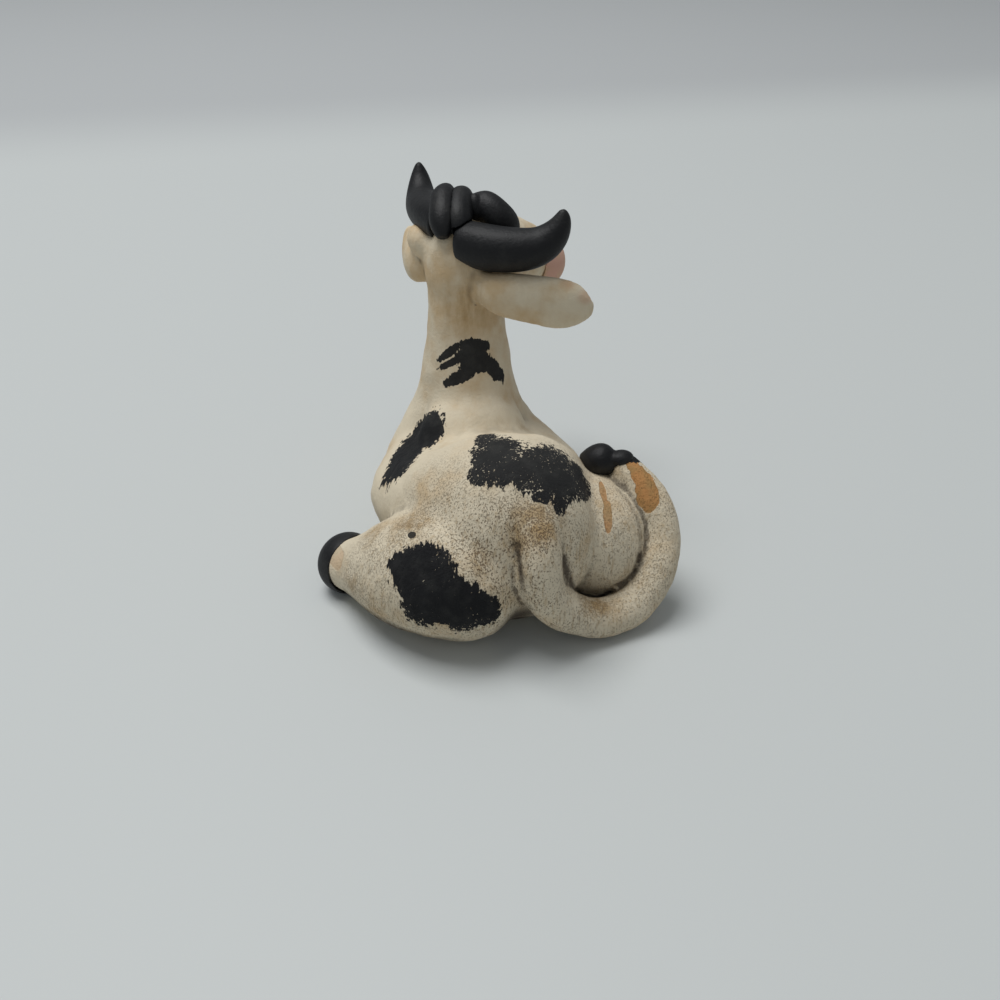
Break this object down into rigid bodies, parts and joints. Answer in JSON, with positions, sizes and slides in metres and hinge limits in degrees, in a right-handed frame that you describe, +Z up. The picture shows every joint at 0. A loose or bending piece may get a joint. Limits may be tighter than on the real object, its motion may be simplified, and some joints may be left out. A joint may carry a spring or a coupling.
{
  "type": "cow figurine",
  "caption": "Small painted terracotta cow lying down, with an upright neck, head turned over its right shoulder, curved horns and a curled tail.",
  "frame": {"origin": "middle of the figure's bounding box, on the flat underside that stands on a table", "axes": "+Z up, -Y ahead from rump to chest, +X to the animal's own left"},
  "size_m": [0.0704, 0.089, 0.072],
  "materials": {
    "cream_paint": "matte cream paint over fired clay, stained ochre in the hollows",
    "pink_paint": "matte dusty pink paint over fired clay",
    "black_paint": "satin black paint over fired clay"
  },
  "bodies": {
    "root": {"torso": "cream_paint", "neck": "cream_paint", "head": "cream_paint", "muzzle": "pink_paint", "left_eye": "black_paint", "right_eye": "black_paint", "left_horn": "black_paint", "right_horn": "black_paint", "left_ear": "cream_paint", "right_ear": "cream_paint", "hair_roll_back": "black_paint", "hair_roll_middle": "black_paint", "hair_roll_right": "black_paint", "left_hind_leg": "cream_paint", "left_hind_hoof": "black_paint", "right_hind_leg": "cream_paint", "right_hind_hoof": "black_paint", "left_front_leg": "cream_paint", "left_front_hoof": "black_paint", "right_front_leg": "cream_paint", "right_front_hoof": "black_paint", "tail": "cream_paint", "tail_tuft": "black_paint"}
  },
  "joints": []
}
